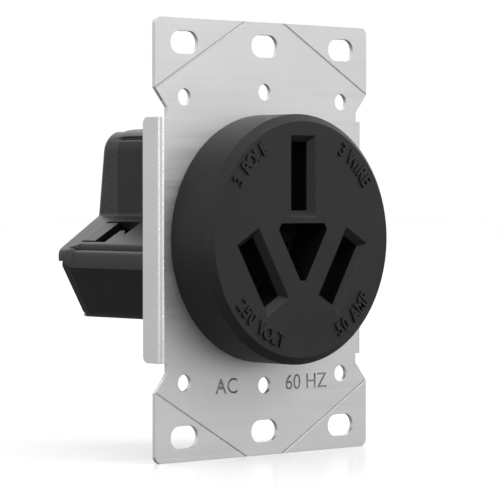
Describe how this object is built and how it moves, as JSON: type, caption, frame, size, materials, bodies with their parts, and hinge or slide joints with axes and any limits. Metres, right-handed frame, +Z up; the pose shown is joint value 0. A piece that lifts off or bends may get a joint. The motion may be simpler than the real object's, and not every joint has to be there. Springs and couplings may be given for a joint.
{
  "type": "cooker socket outlet",
  "caption": "Flush cooker socket outlet: a round black face with angled blade slots in a steel mounting strap, and a star-shaped rear housing with box lugs for the supply wires.",
  "frame": {"origin": "centre of the mounting strap, on its front face, which is the plane of the box-mounting screws", "axes": "+X to the right and +Z up when the socket is seen from the front; +Y goes into the wall, so the face looks towards -Y"},
  "size_m": [0.0622, 0.0614, 0.0936],
  "materials": {
    "zinc_plated_steel": "bright zinc plate with faint rolling lines",
    "face_moulding": "satin black thermoset",
    "inner_moulding": "plain black thermoset",
    "housing_moulding": "semi-gloss black thermoset",
    "brass": "plain stamped brass",
    "spring_steel": "blued spring steel",
    "tinned_aluminium": "tin plate on extruded aluminium",
    "plated_screw": "zinc plate",
    "blackened_screw": "black oxide on steel",
    "clamp_screw_steel": "zinc plate"
  },
  "bodies": {
    "root": {"mounting_strap": "zinc_plated_steel", "face_cover": "face_moulding", "contact_carrier": "inner_moulding", "rear_housing": "housing_moulding", "centre_screw": "blackened_screw", "threaded_insert": "brass", "assembly_screw_1": "plated_screw", "assembly_screw_2": "plated_screw", "assembly_screw_3": "plated_screw", "contact_jaw_top": "brass", "backup_spring_top": "spring_steel", "jaw_rivet_top_a": "brass", "jaw_rivet_top_b": "brass", "terminal_bar_top": "brass", "terminal_lug_top": "tinned_aluminium", "clamp_screw_top": "clamp_screw_steel", "contact_jaw_right": "brass", "backup_spring_right": "spring_steel", "jaw_rivet_right_a": "brass", "jaw_rivet_right_b": "brass", "terminal_bar_right": "brass", "terminal_lug_right": "tinned_aluminium", "clamp_screw_right": "clamp_screw_steel", "contact_jaw_left": "brass", "backup_spring_left": "spring_steel", "jaw_rivet_left_a": "brass", "jaw_rivet_left_b": "brass", "terminal_bar_left": "brass", "terminal_lug_left": "tinned_aluminium", "clamp_screw_left": "clamp_screw_steel"}
  },
  "joints": []
}
